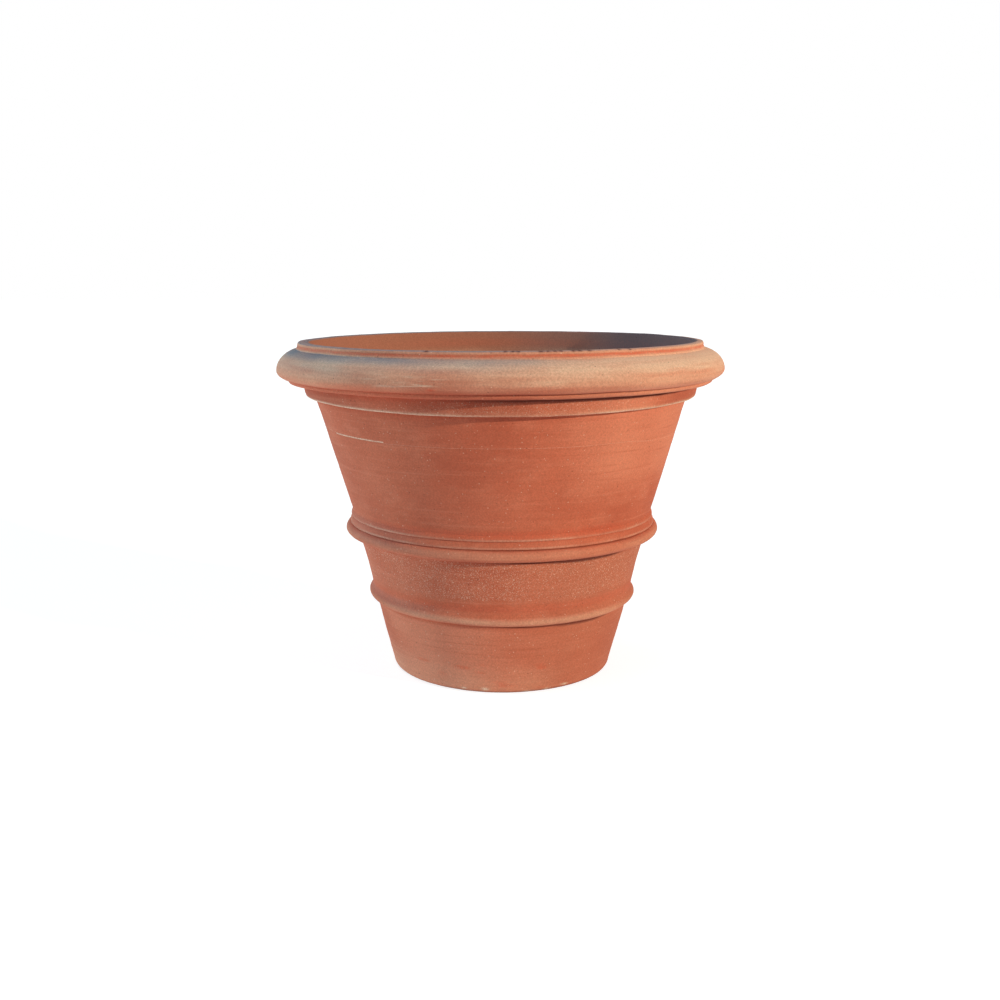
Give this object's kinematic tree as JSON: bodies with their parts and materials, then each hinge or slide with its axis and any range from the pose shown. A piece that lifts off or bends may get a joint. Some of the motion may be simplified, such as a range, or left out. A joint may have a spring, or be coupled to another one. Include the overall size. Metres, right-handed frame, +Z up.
{
  "type": "plant pot",
  "caption": "Large handmade terracotta planter: flaring wall in courses, two raised bands, a stepped collar and a heavy rolled rim, with a drain hole.",
  "frame": {"origin": "centre of the foot, on the ground that the pot stands on", "axes": "+Z up along the pot's axis; round, so X and Y are any two level directions"},
  "size_m": [0.5999, 0.6, 0.4502],
  "materials": {
    "terracotta": "matte"
  },
  "bodies": {
    "root": {"base_slab": "terracotta", "floor_coil": "terracotta", "lower_wall": "terracotta", "middle_wall": "terracotta", "upper_wall": "terracotta", "lower_band": "terracotta", "middle_band": "terracotta", "collar": "terracotta", "rim_bead": "terracotta", "rim_roll": "terracotta", "lip": "terracotta"}
  },
  "joints": []
}
